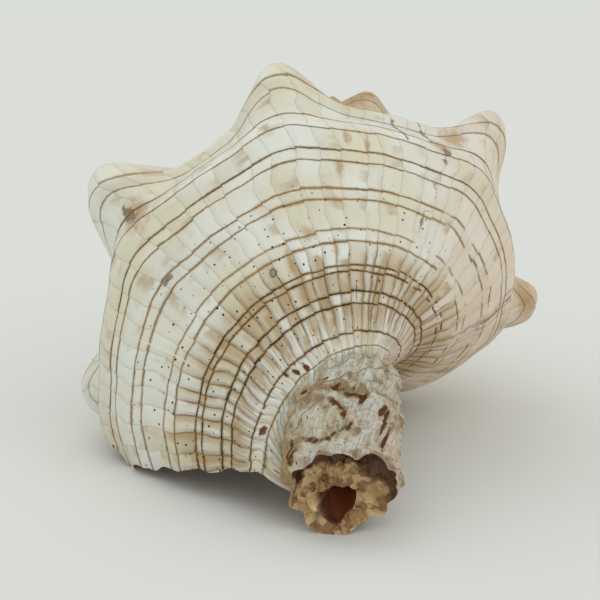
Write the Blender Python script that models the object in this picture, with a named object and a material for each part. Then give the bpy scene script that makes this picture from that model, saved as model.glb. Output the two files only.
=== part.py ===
"""Horse conch shell, grown as one piece: a knobbed spiral shell with a worn canal.

The shell is drawn on its own axis, apex at the origin and canal pointing down the axis.
One profile is swept round the axis while it grows, and each turn starts on the turn before it.
The hollow behind the aperture is cut out, and the shell is then laid down as it rests.
Lengths are millimetres until the mesh is finished, and angles are degrees.
"""

import math

import bmesh
import bpy
from mathutils import Matrix, Vector

MM = 0.001

SHELL_LENGTH = 110
GROWTH_PER_WHORL = 1.54
WHORLS = 5
STEPS_PER_WHORL = 48
FULL_TURN = 360

# Profile of the last turn at the outer lip, from the shoulder down to the neck of the canal:
# radius, depth below the apex, knob push outwards, knob lift towards the apex, lip advance.
SHOULDER = (26.7, 77.5, 8.6, 5.4, 14)
PROFILE = (
    SHOULDER,
    (28.1, 78.6, 4.9, 1.6, 11),
    (28.6, 83.7, 1.8, 2.1, 8),
    (28.6, 86.4, 1.3, 1.3, 7),
    (26.6, 89.7, 0.8, 0.9, 6),
    (23.2, 94.2, 0.4, 0.9, 4),
    (19.0, 97.5, 0.0, 0.0, 1),
    (15.5, 99.8, 0.0, 0.0, 0),
    (12.3, 101.9, 0.0, 0.0, -2),
    (9.4, 105.9, 0.0, 0.0, -7),
    (7.9, 107.3, 0.0, 0.0, -10),
)
SUTURE_ROW = 4

RAMP_SHARES = (0.33, 0.68)
RAMP_SAG = 1.2

KNOB_ANGLES = (0, -47, -94, -153, -216, -275, -327, -379, -431, -484)
KNOB_HEIGHTS = (0.94, 1.17, 0.96, 1.08, 1.50, 1.0, 0.95, 0.8, 0.7, 0.65)
OLD_KNOB_SPACING = 54
OLD_KNOBS = 26
KNOB_SPREAD = 11.1

# Share of the way from the neck to the end of the canal, and the lip advance there.
CANAL = ((0.3, -6), (0.65, 6), (1.0, 20))
CANAL_RADIUS = 5.35
CANAL_BEND = 0.8
CANAL_BEND_ANGLE = 120
CANAL_BEND_LENGTH = 24
COLUMELLA_RADIUS = 1.5
CANAL_SWELL = 0.9
CANAL_CURL_SHARE = 0.3

WALL = 2.4
CANAL_WALL = 1.4
CALLUS = 0.8
CALLUS_ROW = 5
CORE_CLEARANCE = 0.2
KNOB_HOLLOW = 0.4
HOLLOW_FRONT = 5
HOLLOW_BACK = -265
CHANNEL_BACK = -65
CHANNEL_FADE = 30
CHANNEL_LEFT = 0.06
HOLLOW_STEP = 6
CLEAR_STEPS = 2
OVERRUN = 3

# How the shell lies when it rests: turned on its own axis, then tipped onto its aperture.
ROLL = 161.66
TIP = -71.27


def growth(angle):
    """Size of the shell at this angle of growth, 1 where the outer lip starts."""
    return GROWTH_PER_WHORL ** (angle / FULL_TURN)


def smooth_step(share):
    """An eased 0 to 1."""
    share = min(max(share, 0.0), 1.0)
    return share * share * (3 - 2 * share)


def knob(angle):
    """Height share of the knob at this angle, 0 between knobs."""
    angles = list(KNOB_ANGLES)
    heights = list(KNOB_HEIGHTS)
    for _ in range(OLD_KNOBS):
        angles.append(angles[-1] - OLD_KNOB_SPACING)
        heights.append(heights[-1])
    return sum(
        height * math.exp(-(((angle - centre) / KNOB_SPREAD) ** 2))
        for centre, height in zip(angles, heights)
    )


def profile_point(angle, row, knob_share=1.0):
    """Angle, radius and depth of one profile row at this angle of growth."""
    radius, depth, push, lift, _ = PROFILE[row]
    size = growth(angle)
    bump = knob(angle) * knob_share
    return angle, size * (radius + push * bump), size * (depth - lift * bump)


def lip_angle(age, row):
    """Angle of the growing lip on one profile row."""
    return age + PROFILE[row][4]


def canal_radius(age):
    """Radius of the canal, curling in to the columella one turn behind the lip."""
    share = (age + FULL_TURN) / FULL_TURN / CANAL_CURL_SHARE
    return COLUMELLA_RADIUS + (CANAL_RADIUS - COLUMELLA_RADIUS) * smooth_step(share)


def canal_point(age, share, advance):
    """A point between the neck and the worn end of the canal."""
    _, neck_radius, neck_depth = profile_point(lip_angle(age, len(PROFILE) - 1), len(PROFILE) - 1)
    radius = neck_radius + (canal_radius(age) - neck_radius) * smooth_step(share)
    radius += CANAL_SWELL * math.sin(math.pi * share)
    return age + advance, radius, neck_depth + (SHELL_LENGTH - neck_depth) * share


def bend(angle, radius, depth):
    """A point of the canal, moved sideways more and more towards the end of the canal."""
    share = smooth_step((depth - SHELL_LENGTH) / CANAL_BEND_LENGTH + 1)
    toward = math.radians(CANAL_BEND_ANGLE - angle)
    forward = radius + CANAL_BEND * share * math.cos(toward)
    sideways = CANAL_BEND * share * math.sin(toward)
    return angle + math.degrees(math.atan2(sideways, forward)), math.hypot(forward, sideways), depth


def column(age, knob_share=1.0):
    """All points across the newest turn at this age, from the suture to the end of the canal."""
    suture = profile_point(lip_angle(age, SUTURE_ROW) - FULL_TURN, SUTURE_ROW)
    suture = (suture[0] + FULL_TURN, suture[1], suture[2])
    shoulder = profile_point(lip_angle(age, 0), 0, knob_share)
    points = [suture]
    for share in RAMP_SHARES:
        mixed = [a + (b - a) * share for a, b in zip(suture, shoulder)]
        mixed[1] -= RAMP_SAG * growth(age) * math.sin(math.pi * share)
        points.append(tuple(mixed))
    points += [profile_point(lip_angle(age, row), row, knob_share) for row in range(len(PROFILE))]
    points += [bend(*canal_point(age, share, advance)) for share, advance in CANAL]
    return points


def place(point):
    """Angle, radius and depth as a point on the shell's own axis."""
    angle, radius, depth = point
    turn = math.radians(-angle)
    return Vector((radius * math.cos(turn), radius * math.sin(turn), -depth))


def closed_mesh(bm, name):
    """An object from a finished bmesh, with its normals outwards."""
    bmesh.ops.triangulate(bm, faces=bm.faces)
    bmesh.ops.recalc_face_normals(bm, faces=bm.faces)
    bmesh.ops.scale(bm, vec=(MM, MM, MM), verts=bm.verts)
    mesh = bpy.data.meshes.new(name)
    bm.to_mesh(mesh)
    bm.free()
    made = bpy.data.objects.new(name, mesh)
    bpy.context.collection.objects.link(made)
    return made


def build_outside():
    """The whole shell as a solid snail, its aperture closed by a flat wall."""
    bm = bmesh.new()
    suture_column = 1 + len(RAMP_SHARES) + SUTURE_ROW
    last_step = STEPS_PER_WHORL * WHORLS
    apex = bm.verts.new((0, 0, 0))
    grid = []
    for step in range(last_step + 1):
        age = (step - last_step) * FULL_TURN / STEPS_PER_WHORL
        points = column(age)
        if step < last_step - STEPS_PER_WHORL:
            points = points[: suture_column + 1]
        if step == 0:
            grid.append([apex] * len(points))
            continue
        opening = smooth_step(step / STEPS_PER_WHORL)
        older = step - STEPS_PER_WHORL
        row = [grid[older][suture_column] if older > 0 else apex]
        for point in points[1:]:
            row.append(bm.verts.new(place(point) * opening))
        grid.append(row)
    for older, newer in zip(grid, grid[1:]):
        for index in range(min(len(older), len(newer)) - 1):
            corners = [older[index], older[index + 1], newer[index + 1], newer[index]]
            add_face(bm, corners)
    close_aperture(bm, grid[-1], grid[-1 - STEPS_PER_WHORL], suture_column)
    close_canal(bm, [row[-1] for row in grid[-1 - STEPS_PER_WHORL:]])
    return closed_mesh(bm, "shell")


def add_face(bm, corners):
    """A face from its corners, leaving out a corner that is used twice."""
    unique = []
    for corner in corners:
        if corner not in unique:
            unique.append(corner)
    if len(unique) > 2:
        bm.faces.new(unique)


def close_aperture(bm, lip, wall, suture_column):
    """The flat wall between the outer lip and the turn before it."""
    below = suture_column + 1
    for index in range(below):
        add_face(bm, [lip[index], lip[index + 1], wall[below]])
    for index in range(below, len(lip) - 1):
        add_face(bm, [lip[index], lip[index + 1], wall[index + 1], wall[index]])


def close_canal(bm, rim):
    """The worn end of the canal, a fan over its curled outline."""
    middle = bm.verts.new((-COLUMELLA_RADIUS, COLUMELLA_RADIUS, -SHELL_LENGTH))
    for start, end in zip(rim, rim[1:] + rim[:1]):
        bm.faces.new([start, end, middle])


def inset(points, distance):
    """Points of an open outline in the radius and depth plane, moved inwards by this distance."""
    moved = []
    for index, (angle, radius, depth) in enumerate(points):
        before = points[max(index - 1, 0)]
        after = points[min(index + 1, len(points) - 1)]
        along = Vector((after[1] - before[1], after[2] - before[2])).normalized()
        moved.append((angle, radius - along.y * distance, depth + along.x * distance))
    return moved


def hollow_sides(age):
    """The two sides of the hollow at this age: the outer wall, then the older turn facing it."""
    size = growth(age)
    outer = inset(column(age, KNOB_HOLLOW)[1:-len(CANAL)], WALL * size)
    rows = range(CALLUS_ROW, len(PROFILE))
    inner = [profile_point(lip_angle(age, row) - FULL_TURN, row) for row in rows]
    inner = inset(inner, -CALLUS * size)
    reach = max(smooth_step((age - CHANNEL_BACK + CHANNEL_FADE) / CHANNEL_FADE), CHANNEL_LEFT)
    neck_angle, neck_radius, neck_depth = outer[-1]
    ends = [canal_point(age, share, advance) for share, advance in CANAL]
    ends.append((ends[-1][0], ends[-1][1], SHELL_LENGTH + OVERRUN))
    for angle, radius, depth in ends:
        angle = neck_angle + (angle - neck_angle) * reach
        depth = neck_depth + (depth - neck_depth) * reach
        radius = neck_radius + (radius - CANAL_WALL - neck_radius) * reach
        outer.append(bend(angle, radius, depth))
        inner.append(bend(neck_angle, canal_radius(age - FULL_TURN) + CORE_CLEARANCE, depth))
    return outer, inner


def turned(points, angle):
    """The same points, turned this far round the axis."""
    return [(point[0] + angle, point[1], point[2]) for point in points]


def build_hollow():
    """The space inside the shell, from in front of the aperture to deep in the last turn."""
    sections = [hollow_sides(age) for age in range(HOLLOW_FRONT, HOLLOW_BACK - 1, -HOLLOW_STEP)]
    for _ in range(CLEAR_STEPS):
        sections.insert(0, [turned(side, HOLLOW_STEP) for side in sections[0]])
    bm = bmesh.new()
    rings = []
    for section in sections:
        rings.append([[bm.verts.new(place(point)) for point in side] for side in section])
    for newer, older in zip(rings, rings[1:]):
        newer = newer[0] + newer[1][::-1]
        older = older[0] + older[1][::-1]
        for index in range(len(newer)):
            bm.faces.new([newer[index - 1], newer[index], older[index], older[index - 1]])
    close_hollow(bm, *rings[0])
    close_hollow(bm, *rings[-1])
    return closed_mesh(bm, "hollow")


def close_hollow(bm, outer, inner):
    """An end of the hollow, from its outer side across to the older turn."""
    start = len(outer) - len(inner)
    add_face(bm, [inner[0], outer[0], outer[start]])
    for index in range(start):
        add_face(bm, [outer[index], outer[index + 1], outer[start]])
    for index in range(len(inner) - 1):
        add_face(bm, [outer[start + index], outer[start + index + 1], inner[index + 1]])
        add_face(bm, [outer[start + index], inner[index + 1], inner[index]])


def shell_material():
    """Cream white shell."""
    material = bpy.data.materials.new("shell")
    material.use_nodes = True
    surface = material.node_tree.nodes["Principled BSDF"]
    surface.inputs["Base Color"].default_value = (0.72, 0.68, 0.58, 1)
    surface.inputs["Roughness"].default_value = 0.45
    surface.inputs["Metallic"].default_value = 0.0
    return material


def lay_down(shell, hollow):
    """Turn both meshes as the shell rests, the middle of its footprint at the origin."""
    rest = Matrix.Rotation(math.radians(TIP), 4, "X") @ Matrix.Rotation(math.radians(ROLL), 4, "Z")
    shell.data.transform(rest)
    hollow.data.transform(rest)
    across = [vert.co.x for vert in shell.data.vertices]
    along = [vert.co.y for vert in shell.data.vertices]
    lowest = min(vert.co.z for vert in shell.data.vertices)
    middle = Vector(((min(across) + max(across)) / 2, (min(along) + max(along)) / 2, lowest))
    shell.data.transform(Matrix.Translation(-middle))
    hollow.data.transform(Matrix.Translation(-middle))


def main():
    for old in list(bpy.data.objects):
        bpy.data.objects.remove(old)
    shell = build_outside()
    hollow = build_hollow()
    lay_down(shell, hollow)
    shell.data.materials.append(shell_material())
    cut = shell.modifiers.new("hollow", "BOOLEAN")
    cut.operation = "DIFFERENCE"
    cut.solver = "EXACT"
    cut.object = hollow
    hollow.hide_render = True
    hollow.hide_set(True)


main()
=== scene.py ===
"""A horse conch shell with blunt knobs and a worn canal, lying on its aperture on a pale floor."""

import math

import bmesh
import bpy
import numpy as np
from mathutils import Matrix, Vector, noise


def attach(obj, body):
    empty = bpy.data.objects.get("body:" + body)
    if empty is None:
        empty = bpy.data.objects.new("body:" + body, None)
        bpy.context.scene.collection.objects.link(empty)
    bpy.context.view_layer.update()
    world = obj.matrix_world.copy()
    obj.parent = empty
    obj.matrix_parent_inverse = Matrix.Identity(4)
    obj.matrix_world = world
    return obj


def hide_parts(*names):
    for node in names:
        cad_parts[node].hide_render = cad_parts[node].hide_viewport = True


MM = 0.001
FULL_TURN = 360

SHELL_LENGTH = 110
GROWTH_PER_WHORL = 1.54
WHORLS = 5
STEPS_PER_WHORL = 240

# Rows round the last turn at the outer lip, from the shoulder down to the neck of the canal:
# radius, depth below the apex, knob push outwards, knob lift towards the apex, lip advance.
SHOULDER = (26.7, 77.5, 8.6, 5.4, 14)
ROWS = (
    SHOULDER,
    (28.4, 77.5, 6.3, 0.6, 12),
    (27.8, 79.6, 5.2, 1.7, 10.5),
    (28.6, 83.7, 1.8, 2.1, 8),
    (28.6, 86.4, 1.3, 1.3, 7),
    (26.9, 89.0, 0.9, 0.9, 6.2),
    (26.1, 90.6, 0.7, 0.9, 5.7),
    (23.8, 93.8, 0.4, 1.0, 4.3),
    (22.6, 94.7, 0.3, 1.0, 3.6),
    (19.6, 97.0, 0.0, 0.0, 1.4),
    (18.4, 98.0, 0.0, 0.0, 0.8),
    (15.8, 99.6, 0.0, 0.0, 0.1),
    (15.1, 100.1, 0.0, 0.0, 0),
    (12.8, 101.4, 0.0, 0.0, -1.6),
    (11.7, 102.5, 0.0, 0.0, -3),
    (9.4, 105.9, 0.0, 0.0, -7),
    (7.9, 107.3, 0.0, 0.0, -10),
)
SUTURE_ROW = 6
CALLUS_ROW = 8

RAMP_SHARES = (0.33, 0.68)
RAMP_SAG = 1.2
RAMP_WIDTH = 21.7

KNOB_ANGLES = (0, -47, -94, -153, -216, -275, -327, -379, -431, -484)
KNOB_HEIGHTS = (0.86, 1.1, 0.86, 0.98, 1.36, 0.9, 0.87, 0.72, 0.63, 0.6)
OLD_KNOB_SPACING = 54
OLD_KNOBS = 26
KNOB_SPREAD = 10.5
KNOB_BLUNTNESS = 2.2

# Share of the way from the neck to the end of the canal, and the lip advance there.
CANAL = ((0.3, -6), (0.65, 6), (1.0, 20))
COLUMELLA_RADIUS = 1.5
CANAL_SWELL = 0.9
CANAL_CURL_SHARE = 0.07
CANAL_LIP_AHEAD = 58
CANAL_LIP_FADE = 95
CANAL_LIP_TURN = 1.3
CANAL_LIP_DROP = 2.6
CANAL_KNOT_GAP = 0.3

# Worn end of the canal, all the way round: angle, radius, depth.
CANAL_END = (
    (-75, 5.0, 110.2),
    (-40, 5.3, 109.8),
    (5, 4.3, 109.8),
    (45, 4.8, 110.6),
    (75, 4.2, 111.1),
    (100, 4.5, 110.2),
    (115, 4.7, 109.8),
    (133, 5.3, 109.6),
    (165, 5.9, 109.6),
    (185, 6.2, 109.8),
    (212, 5.5, 109.8),
    (245, 4.8, 109.8),
)

# The tube through that end: its mouth round a middle, then its middle, depth and size further in.
CHANNEL_MOUTH = ((2.5, 1.3), (-0.2, 1.5), (-2.3, 0.3), (-1.3, -1.4), (0.6, -2.4), (2.2, -1.0))
CHANNEL = (
    (0.8, -0.9, 114, 1.0),
    (0.8, -0.9, 109.6, 1.0),
    (-0.5, -0.6, 106.8, 0.55),
    (-0.5, -0.3, 103, 0.5),
    (1.2, 0.1, 99.5, 0.6),
    (3.6, 0.6, 96, 0.6),
)
CHANNEL_SIDES = 5

# The face of the worn end: its middle, how far it sinks behind its rim, how much further where the
# rim overhangs, the angles where it does, and where its finish starts where it doesn't.
END_MIDDLE = (1.5, 1.2)
END_RECESS = 0.4
END_OVERHANG = 1.15
OVERHANG_MIDDLE = 250
OVERHANG_REACH = 120
# Where the rim doesn't overhang, its finish starts further in, so the dark rust and painted shade under
# the rim stay under the overhang.
OPEN_RIM = 0.6
SMOOTH_ANGLE = 50

# Where the outer lip is worn back: place across it, spread, degrees.
LIP_WEAR = ((8.0, 6.0, 6.0), (39.0, 4.0, 4.5))

# Degrees behind the lip where its scalloped edge fades out, and how many vertices
# away from a suture the relief reaches its full height.
SCALLOP_FADE = 18
JOIN_FADE = 5

# Waves along the lip's edge: how close together, the seed of their noise, and degrees.
SCALLOPS = ((0.35, 4.0, 2.2), (0.9, 9.0, 1.0))
RIPPLE_CLOSENESS = 1.25
RIPPLE = 0.9

# Waves of the grown surface: degrees and millimetres between them, seed, height.
WAVES = ((16, 9, 1.0, 0.28), (5, 14, 7.0, 0.16))
CANAL_FOLDS = (14, 16, 3.0, 0.6)

# Lumps: how close together and how high.
CANAL_LUMPS = ((0.36, 0.8), (0.8, 0.65))
END_LUMPS = ((0.5, 0.9), (1.3, 0.7))

# The canal's skin takes over within this far past the last row, and only inside
# this radius, over this blend.
CANAL_START = 3
CANAL_RADIUS = 11
CANAL_BLEND = 4

# The worn face sinks over a seventh of the way in, and its lumps rise over a quarter.
RECESS_STEEPNESS = 7
LUMP_STEEPNESS = 4

WALL = 2.4
LIP_WALL = 1.1
LIP_TAPER = 24
CALLUS = 0.8
KNOB_HOLLOW = 0.4
HOLLOW_FRONT = 5
HOLLOW_BACK = -265
NECK_REACH = 0.06
CORE_SHARE = 0.6
HOLLOW_STEP = 3
CLEAR_STEPS = 4

# Finishes, in the order of their material slots.
OUTSIDE = 0
INSIDE = 1
WORN = 2
TUBE = 3

# The growth map keeps turns of growth, and place across the lip in this many millimetres.
ACROSS_UNIT = 100

RAMP_PIECES = 14
ROW_SPACING = 0.55
CANAL_PIECES = 34
END_RINGS = 14

# How the shell lies: turned on its own axis, tipped onto its aperture, then moved over its footprint.
ROLL = 161.66
TIP = -71.27
MOVE = (2.449, 52.860, 39.738)


def growth(angle):
    """Size of the shell at this angle of growth, 1 where the outer lip starts."""
    return GROWTH_PER_WHORL ** (angle / FULL_TURN)


def smooth_step(share):
    """An eased 0 to 1."""
    share = min(max(share, 0.0), 1.0)
    return share * share * (3 - 2 * share)


def all_knobs():
    """Angle and height of every knob, from the lip back to the apex."""
    angles = list(KNOB_ANGLES)
    heights = list(KNOB_HEIGHTS)
    for _ in range(OLD_KNOBS):
        angles.append(angles[-1] - OLD_KNOB_SPACING)
        heights.append(heights[-1])
    return list(zip(angles, heights))


KNOBS = all_knobs()


def knob(angle):
    """Height share of the knob at this angle, 0 between knobs."""
    height = 0.0
    for centre, size in KNOBS:
        off = abs(angle - centre) / KNOB_SPREAD
        if off < 4:
            height += size * math.exp(-(off ** KNOB_BLUNTNESS))
    return height


def row_point(angle, row, knob_share=1.0):
    """Angle, radius and depth of one row at this angle of growth."""
    radius, depth, push, lift, _ = ROWS[row]
    size = growth(angle)
    bump = knob(angle) * knob_share
    return Vector((angle, size * (radius + push * bump), size * (depth - lift * bump)))


def lip_angle(age, row):
    """Angle of the growing lip on one row."""
    return age + ROWS[row][4]


def canal_end(angle):
    """Radius and depth of the worn end of the canal at this angle."""
    first = CANAL_END[0][0]
    angle = (angle - first) % FULL_TURN + first
    ends = CANAL_END + ((first + FULL_TURN,) + CANAL_END[0][1:],)
    for start, end in zip(ends, ends[1:]):
        if angle <= end[0]:
            share = smooth_step((angle - start[0]) / (end[0] - start[0]))
            return start[1] + (end[1] - start[1]) * share, start[2] + (end[2] - start[2]) * share
    return ends[-1][1:]


def canal_curl(age):
    """How far the canal has opened from the columella, 0 one turn behind the lip and then 1."""
    return smooth_step((age + FULL_TURN) / FULL_TURN / CANAL_CURL_SHARE)


def canal_point(age, share, advance):
    """A point between the neck and the worn end of the canal."""
    last = len(ROWS) - 1
    _, neck_radius, neck_depth = row_point(lip_angle(age, last), last)
    young = smooth_step(1 + age / CANAL_LIP_FADE)
    angle = age + advance + CANAL_LIP_AHEAD * smooth_step(share * CANAL_LIP_TURN) * young
    end_radius, end_depth = canal_end(angle)
    end_radius = COLUMELLA_RADIUS + (end_radius - COLUMELLA_RADIUS) * canal_curl(age)
    drop = smooth_step(share) + (smooth_step(share * CANAL_LIP_DROP) - smooth_step(share)) * young
    radius = neck_radius + (end_radius - neck_radius) * drop
    radius += CANAL_SWELL * math.sin(math.pi * share) * (1 - young)
    return Vector((angle, radius, neck_depth + (end_depth - neck_depth) * share))


def row_places():
    """Distance of every row from the shoulder, measured across the lip in millimetres."""
    places = [0.0]
    for before, after in zip(ROWS, ROWS[1:]):
        places.append(places[-1] + math.hypot(after[0] - before[0], after[1] - before[1]))
    return places


PLACES = row_places()


def knots_across(age, points):
    """Distance across the lip of each point of a column: ramp, rows, then canal."""
    ramp = [-RAMP_WIDTH] + [-RAMP_WIDTH * (1 - share) for share in RAMP_SHARES]
    neck = ROWS[-1][1]
    size = growth(lip_angle(age, len(ROWS) - 1))
    canal = [PLACES[-1] + max(point.z / size - neck, 0.0) for point in points[-len(CANAL):]]
    for index in range(len(canal)):
        before = canal[index - 1] if index else PLACES[-1]
        canal[index] = max(canal[index], before + CANAL_KNOT_GAP)
    return ramp + PLACES + canal


def column(age, knob_share=1.0):
    """The points that shape the newest turn at this age, from the suture to the end of the canal."""
    suture = row_point(lip_angle(age, SUTURE_ROW) - FULL_TURN, SUTURE_ROW)
    suture.x += FULL_TURN
    shoulder = row_point(lip_angle(age, 0), 0, knob_share)
    points = [suture]
    for share in RAMP_SHARES:
        mixed = suture.lerp(shoulder, share)
        mixed.y -= RAMP_SAG * growth(age) * math.sin(math.pi * share)
        points.append(mixed)
    points += [row_point(lip_angle(age, row), row, knob_share) for row in range(len(ROWS))]
    points += [canal_point(age, share, advance) for share, advance in CANAL]
    return points


def smooth_line(knots, points, places):
    """Points on the smooth line through these points, at these places along it."""
    slopes = []
    for index in range(len(points)):
        before = max(index - 1, 0)
        after = min(index + 1, len(points) - 1)
        slopes.append((points[after] - points[before]) / (knots[after] - knots[before]))
    made = []
    segment = 0
    for place in places:
        while segment < len(points) - 2 and place > knots[segment + 1]:
            segment += 1
        length = knots[segment + 1] - knots[segment]
        share = (place - knots[segment]) / length
        square = share * share
        cube = square * share
        made.append(
            points[segment] * (2 * cube - 3 * square + 1)
            + slopes[segment] * (length * (cube - 2 * square + share))
            + points[segment + 1] * (3 * square - 2 * cube)
            + slopes[segment + 1] * (length * (cube - square))
        )
    return made


def stations(knots):
    """Where the vertices of a column lie across the lip: even pieces between the rows."""
    places = [knots[0]]
    first_row = 1 + len(RAMP_SHARES)
    last_row = first_row + len(ROWS) - 1
    for index, (start, end) in enumerate(zip(knots, knots[1:])):
        if index < first_row:
            pieces = max(1, round(RAMP_PIECES * (end - start) / RAMP_WIDTH))
        elif index < last_row:
            pieces = max(1, round((end - start) / ROW_SPACING))
        else:
            pieces = CANAL_PIECES // len(CANAL)
        places += [start + (end - start) * (piece + 1) / pieces for piece in range(pieces)]
    return places


def suture_index(knots):
    """Which vertex of a column the next turn starts on."""
    return len(stations(knots[: 1 + len(RAMP_SHARES) + SUTURE_ROW + 1])) - 1


def place(point):
    """Angle, radius and depth as a point on the shell's own axis."""
    angle, radius, depth = point
    turn = math.radians(-angle)
    return Vector((radius * math.cos(turn), radius * math.sin(turn), -depth))


def lip_scallop(across):
    """How far the lip's edge stands forward at this place, in degrees."""
    wave = 0.0
    for closeness, seed, degrees in SCALLOPS:
        wave += noise.noise(Vector((across * closeness, seed, 0.0))) * degrees
    wave += RIPPLE * math.sin(across * RIPPLE_CLOSENESS)
    for middle, spread, degrees in LIP_WEAR:
        wave -= degrees * math.exp(-(((across - middle) / spread) ** 2))
    return wave * (1 - canal_share(across))


def canal_share(across):
    """0 on the rows, 1 on the canal."""
    return smooth_step((across - PLACES[-1]) / CANAL_START)


def waves(age, across, spacing):
    """Smooth waves with these degrees and millimetres between them."""
    degrees, millimetres, seed, height = spacing
    return noise.noise(Vector((age / degrees, across / millimetres, seed))) * height


def lumps(position, sizes):
    """Round lumps of several sizes, one on another."""
    return sum(noise.noise(position * closeness) * height for closeness, height in sizes)


class ShellMesh:
    """A bmesh that keeps turns of growth and place across the lip with every corner."""

    def __init__(self):
        self.bm = bmesh.new()
        self.layer = self.bm.loops.layers.uv.new("growth")

    def vertex(self, position):
        return self.bm.verts.new(position)

    def face(self, corners, slot=OUTSIDE):
        """A face from pairs of vertex and growth place, leaving out a vertex used twice."""
        unique = []
        for vertex, where in corners:
            if all(vertex is not seen for seen, _ in unique):
                unique.append((vertex, where))
        if len(unique) < 3:
            return
        made = self.bm.faces.new([vertex for vertex, _ in unique])
        made.material_index = slot
        made.smooth = True
        for loop, (_, where) in zip(made.loops, unique):
            loop[self.layer].uv = where

    def finish(self, name):
        """The closed mesh as an object, normals outwards, laid down as the shell rests."""
        bmesh.ops.triangulate(self.bm, faces=self.bm.faces)
        bmesh.ops.recalc_face_normals(self.bm, faces=self.bm.faces)
        if self.bm.calc_volume(signed=True) < 0:
            bmesh.ops.reverse_faces(self.bm, faces=self.bm.faces)
        mesh = bpy.data.meshes.new(name)
        self.bm.to_mesh(mesh)
        self.bm.free()
        rest = Matrix.Rotation(math.radians(TIP), 4, "X") @ Matrix.Rotation(math.radians(ROLL), 4, "Z")
        mesh.transform(Matrix.Scale(MM, 4) @ Matrix.Translation(MOVE) @ rest)
        made = bpy.data.objects.new(name, mesh)
        bpy.context.scene.collection.objects.link(made)
        return made


def relief(age, across, position):
    """How far the grown surface stands out from its smooth form, in millimetres."""
    height = sum(waves(age, across, spacing) for spacing in WAVES) * growth(age)
    radius = math.hypot(position.x, position.y)
    canal = canal_share(across) * smooth_step((CANAL_RADIUS - radius) / CANAL_BLEND)
    rough = waves(age, -position.z, CANAL_FOLDS) + lumps(position, CANAL_LUMPS)
    return height * (1 - canal) + rough * canal


def build_outside():
    """The whole shell as a solid snail, its aperture closed by a flat wall."""
    shell = ShellMesh()
    last_step = STEPS_PER_WHORL * WHORLS
    apex = shell.vertex((0, 0, 0))
    grid = []
    suture_column = suture_index([-RAMP_WIDTH] + [-RAMP_WIDTH * (1 - s) for s in RAMP_SHARES] + PLACES)
    for step in range(last_step + 1):
        age = (step - last_step) * FULL_TURN / STEPS_PER_WHORL
        points = column(age)
        knots = knots_across(age, points)
        places = stations(knots)
        if step < last_step - STEPS_PER_WHORL:
            places = places[: suture_column + 1]
        if step == 0:
            grid.append([(apex, (age / FULL_TURN, where / ACROSS_UNIT)) for where in places])
            continue
        opening = smooth_step(step / STEPS_PER_WHORL)
        older = step - STEPS_PER_WHORL
        first = grid[older][suture_column][0] if older > 0 else apex
        row = [(first, (age / FULL_TURN, places[0] / ACROSS_UNIT))]
        edge = smooth_step(1 + age / SCALLOP_FADE)
        for where, point in zip(places[1:], smooth_line(knots, points, places)[1:]):
            turned = Vector((point.x + lip_scallop(where) * edge, point.y, point.z))
            grown = (age / FULL_TURN, where / ACROSS_UNIT)
            row.append((shell.vertex(place(turned) * opening), grown))
        grid.append(row)
    for older, newer in zip(grid, grid[1:]):
        for index in range(min(len(older), len(newer)) - 1):
            shell.face([older[index], older[index + 1], newer[index + 1], newer[index]])
    raise_relief(shell, grid)
    close_aperture(shell, grid[-1], grid[-1 - STEPS_PER_WHORL], suture_column)
    close_canal(shell, [row[-1] for row in grid[-1 - STEPS_PER_WHORL:]])
    return shell.finish("shell_visual")


def raise_relief(shell, grid):
    """Lift every grown vertex along its normal, fading out where turns join."""
    shell.bm.normal_update()
    moves = []
    for row in grid[1:]:
        for index, (vertex, where) in enumerate(row[1:], 1):
            age = where[0] * FULL_TURN
            across = where[1] * ACROSS_UNIT
            fade = smooth_step(index / JOIN_FADE)
            moves.append((vertex, vertex.normal * relief(age, across, vertex.co) * fade))
    for vertex, move in moves:
        vertex.co += move


def close_aperture(shell, lip, wall, suture_column):
    """The flat wall between the outer lip and the turn before it."""
    below = suture_column + 1
    for index in range(below):
        shell.face([lip[index], lip[index + 1], wall[below]], INSIDE)
    for index in range(below, len(lip) - 1):
        shell.face([lip[index], lip[index + 1], wall[index + 1], wall[index]], INSIDE)


def close_canal(shell, rim):
    """The worn end of the canal, sunk behind its rim where the outer skin overhangs."""
    middle = Vector((*END_MIDDLE, -SHELL_LENGTH))
    corners = []
    for vertex, where in rim:
        angle = -math.degrees(math.atan2(vertex.co.y, vertex.co.x)) % FULL_TURN
        hung = smooth_step(2 * (1 - abs(angle - OVERHANG_MIDDLE) / OVERHANG_REACH))
        corners.append((vertex, where[0], hung))
    rings = [[(vertex, (turns, OPEN_RIM * (1 - hung))) for vertex, turns, hung in corners]]
    for ring in range(1, END_RINGS):
        share = ring / END_RINGS
        made = []
        for vertex, turns, hung in corners:
            position = vertex.co.lerp(middle, share)
            rough = lumps(position, END_LUMPS)
            position.z += (END_RECESS + END_OVERHANG * hung) * smooth_step(share * RECESS_STEEPNESS)
            position.z += rough * smooth_step(share * LUMP_STEEPNESS)
            made.append((shell.vertex(position), (turns, share + OPEN_RIM * (1 - hung))))
        rings.append(made)
    for outer, inner in zip(rings, rings[1:]):
        for index in range(len(outer)):
            shell.face([outer[index - 1], outer[index], inner[index], inner[index - 1]], WORN)
    centre = (shell.vertex(middle), (0.0, 1.0))
    last = rings[-1]
    for index in range(len(last)):
        shell.face([last[index - 1], last[index], centre], WORN)


def inset(points, distances):
    """Points of an open outline in the radius and depth plane, moved inwards by these distances."""
    moved = []
    for index, (point, distance) in enumerate(zip(points, distances)):
        before = points[max(index - 1, 0)]
        after = points[min(index + 1, len(points) - 1)]
        along = Vector((after.y - before.y, after.z - before.z)).normalized()
        moved.append(Vector((point.x, point.y - along.y * distance, point.z + along.x * distance)))
    return moved


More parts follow.
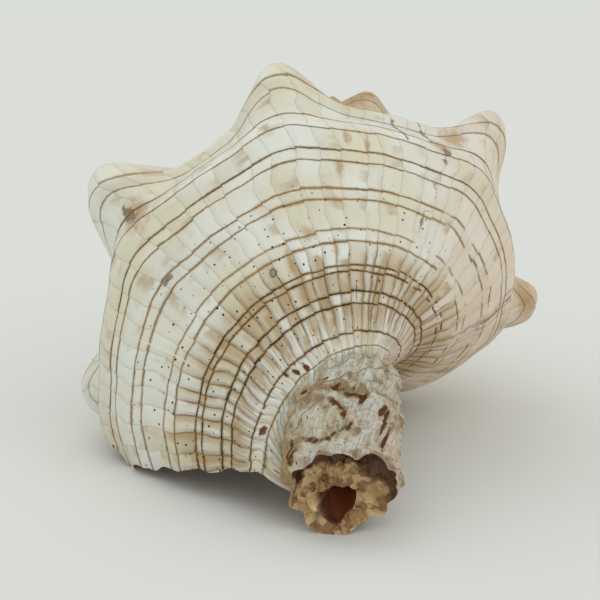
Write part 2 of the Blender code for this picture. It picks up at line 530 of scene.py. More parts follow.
def hollow_sides(age):
    """The two sides of the hollow at this age: the outer wall, then the older turn facing it."""
    size = growth(age)
    outer = column(age, KNOB_HOLLOW)[1:-len(CANAL)]
    wall = LIP_WALL + (WALL - LIP_WALL) * smooth_step(-age / LIP_TAPER)
    outer = inset(outer, [wall * size] * len(outer))
    rows = range(CALLUS_ROW, len(ROWS))
    inner = [row_point(lip_angle(age, row) - FULL_TURN, row) for row in rows]
    inner = inset(inner, [-CALLUS * size] * len(inner))
    neck = outer[-1].copy()
    ends = [canal_point(age, share, advance) for share, advance in CANAL]
    for end in ends:
        point = neck.lerp(end, NECK_REACH)
        outer.append(point)
        inner.append(Vector((neck.x, neck.y * CORE_SHARE, point.z)))
    return refine(outer), refine(inner)


def build_channel():
    """The tube through the worn end of the canal."""
    corners = [Vector((x, y, 0.0)) for x, y in CHANNEL_MOUTH]
    wrapped = corners[-2:] + corners + corners[:3]
    places = [2 + step / CHANNEL_SIDES for step in range(CHANNEL_SIDES * len(corners))]
    outline = smooth_line(list(range(len(wrapped))), wrapped, places)
    channel = ShellMesh()
    rings = []
    for x, y, depth, size in CHANNEL:
        middle = Vector((x, y, -depth))
        rings.append([(channel.vertex(middle + point * size), (0.0, 0.0)) for point in outline])
    for near, far in zip(rings, rings[1:]):
        for side in range(len(near)):
            channel.face([near[side - 1], near[side], far[side], far[side - 1]], TUBE)
    channel.face(rings[0], TUBE)
    channel.face(rings[-1], TUBE)
    return channel.finish("channel")


def refine(points):
    """The same line with a smooth extra point between each pair."""
    knots = list(range(len(points)))
    places = [index / 2 for index in range(2 * len(points) - 1)]
    return smooth_line(knots, points, places)


def turned_ahead(side):
    """One side of the hollow a step further on."""
    return [point + Vector((HOLLOW_STEP, 0, 0)) for point in side]


def build_hollow():
    """The space inside the shell, from in front of the aperture to deep in the last turn."""
    sections = [(age, hollow_sides(age)) for age in range(HOLLOW_FRONT, HOLLOW_BACK - 1, -HOLLOW_STEP)]
    for _ in range(CLEAR_STEPS):
        age, sides = sections[0]
        sections.insert(0, (age + HOLLOW_STEP, [turned_ahead(side) for side in sides]))
    hollow = ShellMesh()
    rings = []
    for age, sides in sections:
        ring = []
        for number, side in enumerate(sides):
            ring.append([
                (hollow.vertex(place(point)), (age / FULL_TURN, number + index / ACROSS_UNIT))
                for index, point in enumerate(side)
            ])
        rings.append(ring)
    for newer, older in zip(rings, rings[1:]):
        newer = newer[0] + newer[1][::-1]
        older = older[0] + older[1][::-1]
        for index in range(len(newer)):
            hollow.face([newer[index - 1], newer[index], older[index], older[index - 1]], INSIDE)
    close_hollow(hollow, *rings[0])
    close_hollow(hollow, *rings[-1])
    return hollow.finish("hollow")


def close_hollow(hollow, outer, inner):
    """An end of the hollow, from its outer side across to the older turn."""
    start = len(outer) - len(inner)
    hollow.face([inner[0], outer[0], outer[start]], INSIDE)
    for index in range(start):
        hollow.face([outer[index], outer[index + 1], outer[start]], INSIDE)
    for index in range(len(inner) - 1):
        hollow.face([outer[start + index], outer[start + index + 1], inner[index + 1]], INSIDE)
        hollow.face([outer[start + index], inner[index + 1], inner[index]], INSIDE)


class Nodes:
    """Builds the nodes of one material or node group."""

    def __init__(self, tree):
        self.tree = tree

    def add(self, kind, values=None, **settings):
        """A node with its settings and its inputs, given as numbers or sockets."""
        made = self.tree.nodes.new(kind)
        for name, value in settings.items():
            setattr(made, name, value)
        for name, value in (values or {}).items():
            self.put(made.inputs[name], value)
        return made

    def put(self, socket, value):
        """Link a socket into an input, or set the input to a plain value."""
        if isinstance(value, bpy.types.NodeSocket):
            self.tree.links.new(value, socket)
        else:
            socket.default_value = value

    def calc(self, operation, *values, clamp=False):
        """A sum on one, two or three numbers."""
        made = self.add("ShaderNodeMath", dict(enumerate(values)), operation=operation, use_clamp=clamp)
        return made.outputs[0]

    def between(self, value, low, high, out_low=0.0, out_high=1.0):
        """An eased change from one value to another as the first number passes from low to high."""
        values = {"Value": value, "From Min": low, "From Max": high}
        values.update({"To Min": out_low, "To Max": out_high})
        return self.add("ShaderNodeMapRange", values, interpolation_type="SMOOTHSTEP").outputs["Result"]

    def mix(self, share, first, second, blend="MIX"):
        """Two colours mixed by share."""
        made = self.add("ShaderNodeMix", data_type="RGBA", blend_type=blend)
        self.put(made.inputs["Factor"], share)
        self.put(made.inputs[6], first)
        self.put(made.inputs[7], second)
        return made.outputs[2]

    def join(self, x=0.0, y=0.0, z=0.0):
        """Three numbers as one vector."""
        return self.add("ShaderNodeCombineXYZ", {"X": x, "Y": y, "Z": z}).outputs[0]

    def noise(self, vector, scale, detail=2.0, rough=0.5):
        """Smooth noise from 0 to 1."""
        values = {"Vector": vector, "Scale": scale, "Detail": detail, "Roughness": rough}
        return self.add("ShaderNodeTexNoise", values).outputs["Fac"]

    def random(self, x, y):
        """A random colour that stays the same for the same two numbers."""
        seed = self.calc("MULTIPLY_ADD", x, 57.3, self.calc("MULTIPLY", y, 13.7))
        return self.add("ShaderNodeTexWhiteNoise", {"W": seed}, noise_dimensions="1D").outputs["Color"]

    def split(self, vector):
        """The three parts of a vector."""
        return self.add("ShaderNodeSeparateXYZ", {"Vector": vector}).outputs

    def split_colour(self, colour):
        """The three parts of a colour."""
        return self.add("ShaderNodeSeparateColor", {"Color": colour}).outputs


def new_group(name, inputs, outputs):
    """An empty node group with number inputs and named outputs of the given kinds."""
    group = bpy.data.node_groups.new(name, "ShaderNodeTree")
    for label in inputs:
        group.interface.new_socket(label, in_out="INPUT", socket_type="NodeSocketFloat")
    for label, kind in outputs:
        group.interface.new_socket(label, in_out="OUTPUT", socket_type=kind)
    nodes = Nodes(group)
    return group, nodes, nodes.add("NodeGroupInput").outputs, nodes.add("NodeGroupOutput")


def line_group():
    """One brown spiral line: its dark middle, its golden edges, and whether it has been passed."""
    inputs = ("Across", "Cell", "Ragged", "Place", "Thickness", "Strength")
    outputs = (("Dark", "NodeSocketFloat"), ("Wide", "NodeSocketFloat"), ("Passed", "NodeSocketFloat"))
    group, nodes, given, out = new_group("spiral_line", inputs, outputs)
    jog = nodes.split_colour(nodes.random(given["Cell"], given["Place"]))
    place = nodes.calc("ADD", given["Place"], nodes.calc("MULTIPLY_ADD", jog["Red"], 0.16, -0.08))
    off = nodes.calc("SUBTRACT", given["Across"], place)
    thick = nodes.calc("MULTIPLY_ADD", jog["Green"], 0.6, 0.7)
    thick = nodes.calc("MULTIPLY", nodes.calc("MULTIPLY", given["Thickness"], thick), given["Ragged"])
    share = nodes.calc("DIVIDE", nodes.calc("ABSOLUTE", off), thick)
    dark = nodes.between(share, 0.45, 1.25, 1.0, 0.0)
    wide = nodes.between(share, 0.9, 2.6, 1.0, 0.0)
    nodes.put(out.inputs["Dark"], nodes.calc("MULTIPLY", dark, given["Strength"]))
    nodes.put(out.inputs["Wide"], nodes.calc("MULTIPLY", wide, given["Strength"]))
    nodes.put(out.inputs["Passed"], nodes.calc("GREATER_THAN", off, 0.0))
    return group


# Brown lines along the rows: row, half thickness, strength and how golden.
LINES = (
    (1, 0.1, 0.7, 0.7),
    (2, 0.1, 0.7, 0.6),
    (3, 0.11, 0.9, 0.2),
    (4, 0.1, 0.85, 0.15),
    (5, 0.12, 0.95, 0.2),
    (6, 0.11, 0.85, 0.3),
    (7, 0.12, 0.9, 0.65),
    (8, 0.11, 0.85, 0.65),
    (9, 0.1, 0.75, 0.8),
    (10, 0.12, 0.85, 0.55),
    (11, 0.12, 1.0, 0.15),
    (12, 0.12, 1.0, 0.15),
    (13, 0.15, 1.0, 0.05),
    (14, 0.14, 1.0, 0.05),
    (15, 0.14, 1.0, 0.1),
    (16, 0.1, 0.8, 0.4),
)

# Lines off the rows: place across the lip, half thickness, strength and how golden.
CANAL_LINES = (
    (44.4, 0.08, 0.5, 0.6),
    (47.3, 0.11, 0.8, 0.6),
    (50.2, 0.08, 0.5, 0.6),
)
RAMP_LINES = (
    (-6.4, 0.1, 0.7, 0.4),
    (-7.8, 0.1, 0.7, 0.4),
    (-13.0, 0.1, 0.6, 0.4),
    (-14.4, 0.1, 0.6, 0.4),
)

# Marks on the surface: age, place across the lip, half length, half width, lean.
GOUGES = (
    (-119, 51.5, 15, 0.45, -0.147),
    (-135, 54.0, 3, 0.7, 0),
    (-112, 53.2, 10, 0.4, -0.2),
    (-118, 55.2, 8, 0.4, -0.2),
    (-95, 55.4, 13, 0.4, -0.19),
    (-116, 58.0, 9, 0.45, 0),
    (-130.5, 58.8, 2.5, 0.7, 0),
    (-104, 49.3, 4, 0.4, 0),
    (-92, 46.5, 3, 0.3, 0),
    (-157, 58.6, 3, 1.5, -0.2),
    (-163, 61.5, 2.2, 2.4, -0.4),
    (-172, 65.0, 1.8, 2.2, -0.5),
    (-72, 51.8, 3.5, 0.9, 0),
    (-25.5, 39.8, 3, 0.35, 0),
    (-72, 40.3, 1.8, 0.6, 0),
    (-65, 39.6, 1.6, 0.5, 0),
    (-60, 38.9, 1.4, 0.35, 0),
    (-73, 44.6, 2.2, 0.45, 0),
    (-78, 54.0, 2.5, 0.8, 0),
)
DARK_STROKES = (
    (-129, 32.0, 0.9, 3.2, 0),
    (-127.5, 36.8, 0.8, 2.3, 0),
    (-117, 33.2, 0.7, 1.5, 0),
    (-135, 6.5, 0.8, 4.6, 0),
    (-144, 5.0, 0.8, 3.2, 0),
    (-147, 10.0, 1.5, 2.2, 0),
    (-145, 17.5, 0.8, 3.4, 0),
    (-142.5, 22.0, 0.7, 1.7, 0),
    (-58.5, 8.2, 1.8, 2.0, 0),
    (-55.5, 19.9, 2.6, 0.45, 0),
    (-207, 17.0, 1.2, 10.0, 0),
)
ORANGE_STAINS = (
    (-117.5, 11.8, 1.3, 1.4, 0),
    (-97.5, 9.7, 1.5, 0.9, 0),
    (-87, 36.2, 2.2, 1.7, 0),
    (-114, 16.6, 1.6, 1.5, 0),
    (-108, 27.0, 1.3, 1.6, 0),
    (-90, 27.4, 1.6, 1.6, 0),
    (-123, 12.5, 1.0, 1.6, 0),
    (-60, 9.0, 4.5, 3.2, 0),
    (-151, 0.5, 4.0, 1.6, 0),
    (-152.5, 4.8, 3.4, 3.0, 0),
    (-146, 8.5, 3.0, 2.0, 0),
    (-221, 2.6, 6.0, 3.6, 0),
)
BROWN_RIBS = (
    (-11.5, 31.5, 3.6, 6.5, 0),
    (-20, 30.0, 3.4, 4.5, 0),
    (-27, 29.0, 3.0, 3.0, 0),
    (-38, 33.0, 3.4, 5.5, 0),
    (-47, 34.0, 3.0, 4.5, 0),
    (-4.5, 33.5, 3.0, 4.0, 0),
    (-84, 31.5, 3.0, 4.0, 0),
    (-100, 31.0, 3.0, 4.0, 0),
    (-126, 31.5, 6.0, 6.0, 0),
    (-207, 17.0, 5.0, 12.0, 0),
    (-222, 28.0, 6.0, 8.0, 0),
    (-236, 26.0, 5.0, 8.0, 0),
)
SCAR = (-37.5, 23.5, 0.3, 4.6, 0)
GREY_HOLE = (-82.5, 27.6, 1.3, 0.5, 0)
MARKS_FAR = 3.0

CREAM = (0.765, 0.735, 0.585, 1)
GREY_WHITE = (0.80, 0.82, 0.765, 1)
TAN = (0.52, 0.38, 0.21, 1)
PINK_BEIGE = (0.76, 0.62, 0.51, 1)
ORANGE = (0.46, 0.26, 0.075, 1)
BROWN = (0.25, 0.14, 0.05, 1)
STROKE = (0.13, 0.062, 0.028, 1)
DARK_LINE = (0.028, 0.014, 0.006, 1)
GOLD_LINE = (0.32, 0.165, 0.035, 1)
LINE_EDGE = (0.40, 0.25, 0.09, 1)
RUST = (0.15, 0.042, 0.006, 1)
PIT = (0.018, 0.01, 0.006, 1)
SCAR_PALE = (0.86, 0.82, 0.64, 1)
HOLE_GREY = (0.26, 0.25, 0.22, 1)
WORN_TAN = (0.37, 0.21, 0.08, 1)
WORN_PALE = (0.56, 0.40, 0.20, 1)
WORN_PIT = (0.20, 0.07, 0.018, 1)
CANAL_HOLLOW_TAN_AND_SHADE = (0.34, 0.22, 0.11, 1)
RIM_RUST_AND_SHADE = (0.08, 0.022, 0.008, 1)
INSIDE_PALE = (0.58, 0.44, 0.29, 1)
INSIDE_DEEP = (0.34, 0.12, 0.035, 1)
INSIDE_CLOUD = (0.42, 0.2, 0.07, 1)
TUBE_TAN = (0.72, 0.46, 0.24, 1)
TUBE_PALE = (0.80, 0.58, 0.35, 1)
TUBE_DEEP_SHADE = (0.14, 0.035, 0.012, 1)
FLOOR_PALE = (0.80, 0.805, 0.79, 1)


def place_on_shell(nodes):
    """Age in degrees and place across the lip in millimetres."""
    grown = nodes.split(nodes.add("ShaderNodeUVMap", uv_map="growth").outputs["UV"])
    age = nodes.calc("MULTIPLY", grown["X"], FULL_TURN)
    return age, nodes.calc("MULTIPLY", grown["Y"], ACROSS_UNIT)


def mark_mask(nodes, reach, ragged):
    """A mask with a ragged edge from how far each place lies from a mark."""
    return nodes.between(nodes.calc("ADD", reach, ragged), 0.65, 1.15, 1.0, 0.0)


def oval_mark(nodes, age, across, mark, ragged):
    """The mask of a single fine mark."""
    at_age, at_across, half_age, half_across, _ = mark
    along = nodes.calc("DIVIDE", nodes.calc("SUBTRACT", age, at_age), half_age)
    down = nodes.calc("DIVIDE", nodes.calc("SUBTRACT", across, at_across), half_across)
    squares = nodes.calc("MULTIPLY_ADD", along, along, nodes.calc("MULTIPLY", down, down))
    return mark_mask(nodes, nodes.calc("SQRT", squares), ragged)


def stretched_noise(nodes, age, across, age_scale, across_scale, seed, detail=2.0):
    """Noise stretched along or across the growth of the shell."""
    along = nodes.calc("MULTIPLY", age, age_scale)
    down = nodes.calc("MULTIPLY", across, across_scale)
    return nodes.noise(nodes.join(along, down, seed), 1.0, detail)


def marks_reach(age, across, marks):
    """How far each place lies from the nearest of these marks, 1 at the edge of a mark."""
    nearest = np.full(len(age), MARKS_FAR)
    for at_age, at_across, half_age, half_across, lean in marks:
        along = age - at_age
        down = across - at_across - lean * along
        nearest = np.minimum(nearest, np.hypot(along / half_age, down / half_across))
    return nearest


def paint_marks(mesh):
    """Keep with every corner how far it lies from each kind of mark."""
    grown = np.zeros(2 * len(mesh.loops))
    mesh.uv_layers["growth"].data.foreach_get("uv", grown)
    age = grown[0::2] * FULL_TURN
    across = grown[1::2] * ACROSS_UNIT
    reach = np.zeros((len(age), 4))
    for kind, marks in enumerate((ORANGE_STAINS, BROWN_RIBS, DARK_STROKES, GOUGES)):
        reach[:, kind] = marks_reach(age, across, marks)
    layer = mesh.color_attributes.new("marks", "FLOAT_COLOR", "CORNER")
    layer.data.foreach_set("color", reach.ravel())


def shell_surface(lines):
    """Pale shell with brown line pairs, lapping growth strips, stains and pinholes."""
    material = bpy.data.materials.new("grown_shell")
    material.use_nodes = True
    nodes = Nodes(material.node_tree)
    shader = material.node_tree.nodes["Principled BSDF"]
    age, across = place_on_shell(nodes)
    spot = nodes.add("ShaderNodeTexCoord").outputs["Object"]
    below = nodes.between(across, 25, 30)
    canal = nodes.between(across, 41.0, 46)
    grown = nodes.calc("SUBTRACT", 1.0, canal)
    low_turn = nodes.calc("MULTIPLY", below, nodes.between(across, 35, 40, 1.0, 0.12))
    right = nodes.between(age, -195, -125, 1.0, 0.0)

    # Growth lines split the surface into uneven strips that lap like tiles.
    sway = stretched_noise(nodes, age, across, 0.02, 0.12, 0.0)
    shaken = stretched_noise(nodes, age, across, 0.12, 0.9, 5.0)
    track = nodes.calc("MULTIPLY_ADD", sway, 1.6, nodes.calc("MULTIPLY", age, 1 / 6.0))
    track = nodes.calc("MULTIPLY_ADD", shaken, 0.14, track)
    cells = nodes.add("ShaderNodeTexVoronoi", {"W": track, "Scale": 1.0}, voronoi_dimensions="1D")
    edges = nodes.add(
        "ShaderNodeTexVoronoi",
        {"W": track, "Scale": 1.0},
        voronoi_dimensions="1D",
        feature="DISTANCE_TO_EDGE",
    )
    cell = cells.outputs["W"]
    to_edge = edges.outputs["Distance"]
    in_cell = nodes.calc("SUBTRACT", track, cell)

    # Brown spiral lines with ragged edges, broken into dashes on the older side.
    barbs = stretched_noise(nodes, age, across, 1.3, 2.2, 9.0)
    wander = nodes.calc("MULTIPLY_ADD", stretched_noise(nodes, age, across, 0.1, 0.35, 1.0), 0.5, -0.25)
    wander = nodes.calc("MULTIPLY_ADD", barbs, 0.12, wander)
    traced = nodes.calc("ADD", across, nodes.calc("MULTIPLY_ADD", in_cell, 0.08, wander))
    uneven = stretched_noise(nodes, age, across, 0.9, 0.5, 12.0)
    uneven = nodes.calc("MULTIPLY_ADD", uneven, 1.1, 0.45)
    broken = nodes.between(age, -165, -118, 1.0, 0.0)
    broken = nodes.calc("MULTIPLY", broken, nodes.between(across, 14, 20))
    broken = nodes.calc("MULTIPLY", broken, nodes.between(across, 29, 34, 1.0, 0.25))
    dashes = stretched_noise(nodes, age, across, 0.13, 0.5, 2.0)
    kept_from = nodes.calc("MULTIPLY_ADD", broken, 0.27, 0.2)
    kept = nodes.between(dashes, kept_from, nodes.calc("ADD", kept_from, 0.09))
    dark_mask = 0.0
    wide_mask = 0.0
    gold_mask = 0.0
    band = 0.0
    for where, thickness, strength, gold in lines:
        line = nodes.add("ShaderNodeGroup", node_tree=bpy.data.node_groups["spiral_line"])
        values = {"Across": traced, "Cell": cell, "Ragged": uneven}
        values.update({"Place": where, "Thickness": thickness, "Strength": strength})
        for name, value in values.items():
            nodes.put(line.inputs[name], value)
        dark_mask = nodes.calc("MAXIMUM", dark_mask, line.outputs["Dark"])
        wide_mask = nodes.calc("MAXIMUM", wide_mask, line.outputs["Wide"])
        gold_mask = nodes.calc("MAXIMUM", gold_mask, nodes.calc("MULTIPLY", line.outputs["Wide"], gold))
        band = nodes.calc("ADD", band, line.outputs["Passed"])
    line_mask = nodes.calc("MULTIPLY", dark_mask, kept)
    edge_mask = nodes.calc("MULTIPLY", wide_mask, kept)
    gold_noise = stretched_noise(nodes, age, across, 0.07, 0.4, 8.0)
    gold_from = nodes.calc("SUBTRACT", gold_mask, 0.8)
    gold_share = nodes.calc("MULTIPLY_ADD", gold_noise, 1.8, gold_from, clamp=True)

    # Ground colour: every tile between lines and growth lines has its own tint.
    tile = nodes.split_colour(nodes.random(cell, band))
    blotches = stretched_noise(nodes, age, across, 0.05, 0.12, 3.0, 3.0)
    base = nodes.mix(nodes.between(blotches, 0.4, 0.65), GREY_WHITE, CREAM)
    pink_share = nodes.calc("MULTIPLY_ADD", right, 0.75, nodes.calc("MULTIPLY", tile["Green"], 0.12))
    base = nodes.mix(pink_share, base, PINK_BEIGE)
    tan_low = nodes.calc("MULTIPLY_ADD", low_turn, 0.62, 0.12)
    tan_share = nodes.calc("MULTIPLY", nodes.between(tile["Red"], 0.3, 1.0), tan_low)
    base = nodes.mix(tan_share, base, TAN)
    # Brown wash: tan low on the turn, and on the older turns partly their own tan and partly painted
    # shade.
    older_tan_and_shade = nodes.between(age, -240, -185, 0.4, 0.0)
    wash = nodes.calc("MULTIPLY_ADD", low_turn, 0.22, nodes.calc("ADD", older_tan_and_shade, 0.05))
    base = nodes.mix(nodes.calc("MULTIPLY", wash, nodes.between(blotches, 0.3, 0.6)), base, LINE_EDGE)

    # Stain caught beside the growth lines, and their thin brown edges low on the turn.
    marks = nodes.add("ShaderNodeAttribute", attribute_name="marks")
    reach = nodes.split_colour(marks.outputs["Color"])
    ragged = nodes.calc("MULTIPLY_ADD", nodes.noise(spot, 1100.0, 3.0), 2.4, -1.2)
    ribs = nodes.between(reach["Green"], 0.6, 1.2, 1.0, 0.0)
    stain_noise = stretched_noise(nodes, age, across, 0.07, 0.35, 6.0, 3.0)
    stain_from = nodes.calc("MULTIPLY_ADD", low_turn, -0.14, 0.5)
    stain_from = nodes.calc("MULTIPLY_ADD", ribs, -0.2, stain_from)
    stain = nodes.between(stain_noise, stain_from, nodes.calc("ADD", stain_from, 0.16))
    beside = nodes.between(in_cell, 0.12, -0.42)
    stain = nodes.calc("MULTIPLY", stain, beside)
    stain = nodes.calc("MULTIPLY", stain, nodes.calc("MULTIPLY_ADD", low_turn, 0.2, 0.6))
    base = nodes.mix(stain, base, nodes.mix(tile["Blue"], LINE_EDGE, TAN))
    gap = nodes.calc("MULTIPLY", nodes.between(to_edge, 0.0, 0.16, 1.0, 0.0), low_turn)
    gap_noise = stretched_noise(nodes, age, across, 0.2, 0.5, 4.0)
    gap = nodes.calc("MULTIPLY", gap, nodes.between(gap_noise, 0.35, 0.65, 0.25, 0.85))
    base = nodes.mix(gap, base, BROWN)
    thin_edge = nodes.between(to_edge, 0.015, 0.06, 1.0, 0.0)
    thin_share = nodes.calc("MULTIPLY_ADD", ribs, 0.8, nodes.calc("MULTIPLY_ADD", low_turn, 0.2, 0.13))
    thin_share = nodes.calc("MULTIPLY", thin_edge, thin_share)
    thin_share = nodes.calc("MULTIPLY", thin_share, grown, clamp=True)
    base = nodes.mix(thin_share, base, BROWN)
    comb = nodes.between(across, 38, 41, 1.0, 0.0)
    comb = nodes.calc("MULTIPLY", nodes.between(across, 33.5, 35.5), comb)
    stripes = stretched_noise(nodes, age, across, 0.9, 0.08, 2.0, 2.0)
    stripe_share = nodes.calc("MULTIPLY_ADD", comb, 0.45, 0.025)
    stripe_share = nodes.calc("MULTIPLY", nodes.between(stripes, 0.46, 0.62), stripe_share)
    base = nodes.mix(nodes.calc("MULTIPLY", stripe_share, grown), base, BROWN)

    # Marks in their own places.
    stained = nodes.between(nodes.calc("MULTIPLY_ADD", ragged, 0.5, reach["Red"]), 0.3, 1.3, 1.0, 0.0)
    strokes = mark_mask(nodes, reach["Blue"], ragged)
    gouge = mark_mask(nodes, marks.outputs["Alpha"], ragged)
    for mask, colour, share in ((stained, ORANGE, 0.72), (strokes, STROKE, 0.75)):
        base = nodes.mix(nodes.calc("MULTIPLY", mask, share), base, colour)
    old_knobs = nodes.between(age, -400, -300, 1.0, 0.0)
    old_knobs = nodes.calc("MULTIPLY", old_knobs, nodes.between(across, -9, 0))
    old_knobs = nodes.calc("MULTIPLY", old_knobs, nodes.between(blotches, 0.3, 0.6, 0.15, 0.5))
    base = nodes.mix(old_knobs, base, ORANGE)

    base = nodes.mix(nodes.calc("MULTIPLY", edge_mask, 0.62), base, LINE_EDGE)
    line_colour = nodes.mix(gold_share, DARK_LINE, GOLD_LINE)
    base = nodes.mix(nodes.calc("MULTIPLY", line_mask, 0.93), base, line_colour)
    scar = oval_mark(nodes, age, across, SCAR, nodes.calc("MULTIPLY", ragged, 0.2))
    base = nodes.mix(nodes.calc("MULTIPLY", scar, 0.8), base, SCAR_PALE)

    # Rough skin of the canal: tan with painted shade in its hollows, worn patches near its end, gouges;
    # then the pinholes.
    skin = nodes.noise(spot, 400.0, 5.0, 0.62)
    hollows_tan_and_shade = nodes.calc("MULTIPLY", nodes.between(skin, 0.38, 0.55, 0.95, 0.06), canal)
    base = nodes.mix(hollows_tan_and_shade, base, CANAL_HOLLOW_TAN_AND_SHADE)
    young = nodes.between(age, -85, -60)
    worn = nodes.calc("MULTIPLY", nodes.between(across, 42.5, 44.5), young)
    base = nodes.mix(worn, base, nodes.mix(skin, WORN_TAN, WORN_PALE))
    halo = nodes.calc("MULTIPLY_ADD", ragged, 0.6, marks.outputs["Alpha"])
    halo = nodes.between(halo, 0.9, 1.7, 1.0, 0.0)
    base = nodes.mix(nodes.calc("MULTIPLY", halo, 0.55), base, LINE_EDGE)
    base = nodes.mix(nodes.calc("MULTIPLY", gouge, 0.95), base, RUST)
    hole = oval_mark(nodes, age, across, GREY_HOLE, ragged)
    base = nodes.mix(hole, base, HOLE_GREY)
    flat = nodes.join(nodes.calc("MULTIPLY", age, 0.36), across)
    pits = nodes.add("ShaderNodeTexVoronoi", {"Vector": flat, "Scale": 0.62}, voronoi_dimensions="2D")
    pit_pick = nodes.split_colour(pits.outputs["Color"])
    pit_size = nodes.between(pit_pick["Red"], 0.3, 1.0, 0.04, 0.1)
    pit_floor = nodes.calc("MULTIPLY", pit_size, 0.7)
    pit = nodes.between(pits.outputs["Distance"], pit_floor, pit_size, 1.0, 0.0)
    pitted = nodes.calc("MULTIPLY", nodes.between(age, -170, -130), nodes.between(across, 17, 24))
    pitted = nodes.calc("MULTIPLY", pitted, nodes.calc("GREATER_THAN", pit_pick["Red"], 0.3))
    pit = nodes.calc("MULTIPLY", pit, pitted)
    base = nodes.mix(pit, base, PIT)
    nodes.put(shader.inputs["Base Color"], base)

    dome = nodes.calc("MULTIPLY_ADD", low_turn, 0.7, 0.3)
    dome = nodes.calc("MULTIPLY", nodes.between(to_edge, 0.0, 0.3), dome)
    grain = nodes.noise(spot, 900.0, 3.0)
    ridges = nodes.calc("MULTIPLY", stripes, low_turn)
    height = nodes.calc("MULTIPLY", nodes.calc("MULTIPLY", in_cell, grown), -0.34)
    parts = (
        (dome, 0.2),
        (thin_edge, -0.02),
        (edge_mask, -0.07),
        (pit, -0.3),
        (gouge, -0.5),
        (hole, -0.5),
        (ridges, 0.1),
        (grain, 0.035),
    )
    for part, depth in parts:
        height = nodes.calc("MULTIPLY_ADD", part, depth, height)
    height = nodes.calc("MULTIPLY_ADD", nodes.calc("MULTIPLY", skin, canal), 2.8, height)
    bump = nodes.add("ShaderNodeBump", {"Height": height, "Distance": MM, "Strength": 1.0})
    nodes.put(shader.inputs["Normal"], bump.outputs["Normal"])
    rough = nodes.calc("MULTIPLY_ADD", blotches, 0.2, nodes.calc("MULTIPLY_ADD", line_mask, 0.25, 0.26))
    rough = nodes.calc("MULTIPLY_ADD", nodes.calc("MAXIMUM", canal, gouge), 0.28, rough)
    nodes.put(shader.inputs["Roughness"], rough)
    dull = nodes.calc("MAXIMUM", nodes.calc("MAXIMUM", gouge, pit), line_mask)
    nodes.put(shader.inputs["Specular IOR Level"], nodes.calc("MULTIPLY_ADD", dull, -0.4, 0.5))
    return material


def inside_surface():
    """Glossy orange-brown inside, paler at the lip."""
    material = bpy.data.materials.new("shell_inside")
    material.use_nodes = True
    nodes = Nodes(material.node_tree)
    shader = material.node_tree.nodes["Principled BSDF"]
    age, _ = place_on_shell(nodes)
    spot = nodes.add("ShaderNodeTexCoord").outputs["Object"]
    cloud = nodes.noise(spot, 120.0, 3.0)
    deep = nodes.between(nodes.calc("MULTIPLY_ADD", cloud, 10, age), -8, 5, 1.0, 0.0)
    colour = nodes.mix(deep, INSIDE_PALE, INSIDE_DEEP)
    colour = nodes.mix(nodes.calc("MULTIPLY", cloud, 0.35), colour, INSIDE_CLOUD)
    nodes.put(shader.inputs["Base Color"], colour)
    shader.inputs["Roughness"].default_value = 0.28
    bump = nodes.add("ShaderNodeBump", {"Height": cloud, "Distance": 0.0002, "Strength": 0.6})
    nodes.put(shader.inputs["Normal"], bump.outputs["Normal"])
    return material


def worn_surface():
    """Worn canal end: tan, rough and pitted, with dark rust and painted shade under its rim."""
    material = bpy.data.materials.new("worn_canal")
    material.use_nodes = True
    nodes = Nodes(material.node_tree)
    shader = material.node_tree.nodes["Principled BSDF"]
    _, inward = place_on_shell(nodes)
    spot = nodes.add("ShaderNodeTexCoord").outputs["Object"]
    cloud = nodes.noise(spot, 420.0, 4.0, 0.6)
    pit = nodes.between(nodes.noise(spot, 800.0, 3.0), 0.48, 0.62)
    colour = nodes.mix(nodes.between(cloud, 0.36, 0.6), WORN_TAN, WORN_PALE)
    colour = nodes.mix(nodes.calc("MULTIPLY", pit, 0.8), colour, WORN_PIT)
    # Dark band under the rim: partly rust, partly painted shade under the overhang.
    rim = nodes.between(nodes.calc("MULTIPLY_ADD", cloud, 40, inward), 57, 70, 1.0, 0.0)
    colour = nodes.mix(nodes.calc("MULTIPLY", rim, 0.92), colour, RIM_RUST_AND_SHADE)
    nodes.put(shader.inputs["Base Color"], colour)
    shader.inputs["Roughness"].default_value = 0.6
    height = nodes.calc("SUBTRACT", cloud, nodes.calc("MULTIPLY", pit, 0.3))
    bump = nodes.add("ShaderNodeBump", {"Height": height, "Distance": 0.001, "Strength": 1.0})
    nodes.put(shader.inputs["Normal"], bump.outputs["Normal"])
    return material


def channel_surface():
    """Inside of the canal: smooth tan, with dark red-brown painted shade further in."""
    material = bpy.data.materials.new("canal_inside")
    material.use_nodes = True
    nodes = Nodes(material.node_tree)
    shader = material.node_tree.nodes["Principled BSDF"]
    spot = nodes.add("ShaderNodeTexCoord").outputs["Object"]
    part = nodes.split(spot)
    inward = nodes.calc("MULTIPLY_ADD", part["X"], 0.5, part["Y"])
    cloud = nodes.noise(spot, 300.0, 3.0)
    # Painted shade: the tube turns dark red-brown further in.
    deep = nodes.between(nodes.calc("MULTIPLY_ADD", cloud, 0.0015, inward), -0.0494, -0.0480)
    colour = nodes.mix(nodes.between(cloud, 0.4, 0.65), TUBE_TAN, TUBE_PALE)
    nodes.put(shader.inputs["Base Color"], nodes.mix(deep, colour, TUBE_DEEP_SHADE))
    shader.inputs["Roughness"].default_value = 0.4
    bump = nodes.add("ShaderNodeBump", {"Height": cloud, "Distance": 0.0004, "Strength": 0.8})
    nodes.put(shader.inputs["Normal"], bump.outputs["Normal"])
    return material


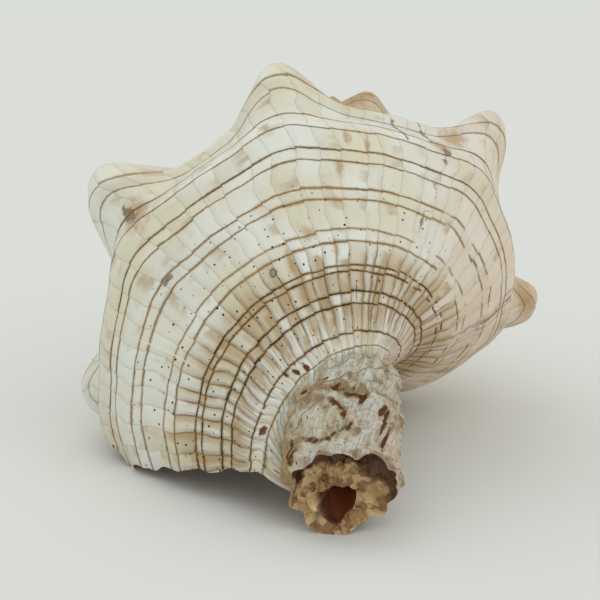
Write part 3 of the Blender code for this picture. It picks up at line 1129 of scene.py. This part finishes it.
def build_shell():
    """The finished shell: outside less hollow and channel, with its finishes."""
    line_group()
    lines = [(PLACES[row], thick, strength, gold) for row, thick, strength, gold in LINES]
    materials = [shell_surface(lines + list(CANAL_LINES) + list(RAMP_LINES))]
    materials += [inside_surface(), worn_surface(), channel_surface()]
    outside = build_outside()
    cutters = [build_hollow(), build_channel()]
    for made in [outside] + cutters:
        for material in materials:
            made.data.materials.append(material)
    bpy.ops.object.select_all(action="DESELECT")
    bpy.context.view_layer.objects.active = outside
    outside.select_set(True)
    for cutter in cutters:
        cut = outside.modifiers.new(cutter.name, "BOOLEAN")
        cut.operation = "DIFFERENCE"
        cut.solver = "MANIFOLD"
        cut.object = cutter
        bpy.ops.object.modifier_apply(modifier=cut.name)
        bpy.data.objects.remove(cutter)
    for vertex in outside.data.vertices:
        vertex.co.z = max(vertex.co.z, 0.0)
    paint_marks(outside.data)
    bpy.ops.object.shade_smooth_by_angle(angle=math.radians(SMOOTH_ANGLE))
    return outside


FLOOR_REACH = 12

CAMERA_PLACE = (0.000972, -0.172946, 0.047574)
CAMERA_TURN = (79.162, 0.188, 1.092)
CAMERA_LENS = 76.445
CAMERA_SENSOR = 36

SKY_COLOUR = (0.975, 1.0, 0.95, 1)
SKY_STRENGTH = 0.72

# Soft lamps: name, strength, how wide they look, and how they are turned, in degrees.
LAMPS = (
    ("overhead", 0.4, 60, (-28, -30, 0)),
    ("front", 0.6, 80, (62, 0, 35)),
)


def build_floor():
    """A plain pale floor that reaches far past the shell."""
    bm = bmesh.new()
    bmesh.ops.create_grid(bm, x_segments=2, y_segments=2, size=FLOOR_REACH)
    mesh = bpy.data.meshes.new("floor")
    bm.to_mesh(mesh)
    bm.free()
    made = bpy.data.objects.new("floor", mesh)
    bpy.context.scene.collection.objects.link(made)
    material = bpy.data.materials.new("pale_floor")
    material.use_nodes = True
    shader = material.node_tree.nodes["Principled BSDF"]
    shader.inputs["Base Color"].default_value = FLOOR_PALE
    shader.inputs["Roughness"].default_value = 0.9
    shader.inputs["Specular IOR Level"].default_value = 0.0
    made.data.materials.append(material)
    return made


def add_camera():
    """The camera, low in front of the canal."""
    lens = bpy.data.cameras.new("camera")
    lens.sensor_width = CAMERA_SENSOR
    lens.lens = CAMERA_LENS
    lens.clip_start = 0.01
    made = bpy.data.objects.new("camera", lens)
    made.location = CAMERA_PLACE
    made.rotation_euler = [math.radians(angle) for angle in CAMERA_TURN]
    bpy.context.scene.collection.objects.link(made)
    bpy.context.scene.camera = made


def light_scene():
    """Soft light from all round, one lamp above and behind, and one in front from the right."""
    world = bpy.data.worlds.new("studio")
    world.use_nodes = True
    sky = world.node_tree.nodes["Background"]
    sky.inputs["Color"].default_value = SKY_COLOUR
    sky.inputs["Strength"].default_value = SKY_STRENGTH
    bpy.context.scene.world = world
    for name, strength, width, turn in LAMPS:
        lamp = bpy.data.lights.new(name, "SUN")
        lamp.energy = strength
        lamp.angle = math.radians(width)
        made = bpy.data.objects.new(name, lamp)
        made.rotation_euler = [math.radians(angle) for angle in turn]
        bpy.context.scene.collection.objects.link(made)
    bpy.context.scene.view_settings.view_transform = "Standard"


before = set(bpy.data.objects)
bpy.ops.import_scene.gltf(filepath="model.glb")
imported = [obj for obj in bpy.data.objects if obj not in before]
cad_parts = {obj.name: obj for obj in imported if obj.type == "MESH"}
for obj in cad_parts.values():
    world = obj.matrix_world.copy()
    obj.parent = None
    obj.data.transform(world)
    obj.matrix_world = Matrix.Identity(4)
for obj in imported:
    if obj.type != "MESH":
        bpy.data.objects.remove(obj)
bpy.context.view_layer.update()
shell = build_shell()
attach(shell, "root")
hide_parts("shell")
floor = build_floor()
add_camera()
light_scene()
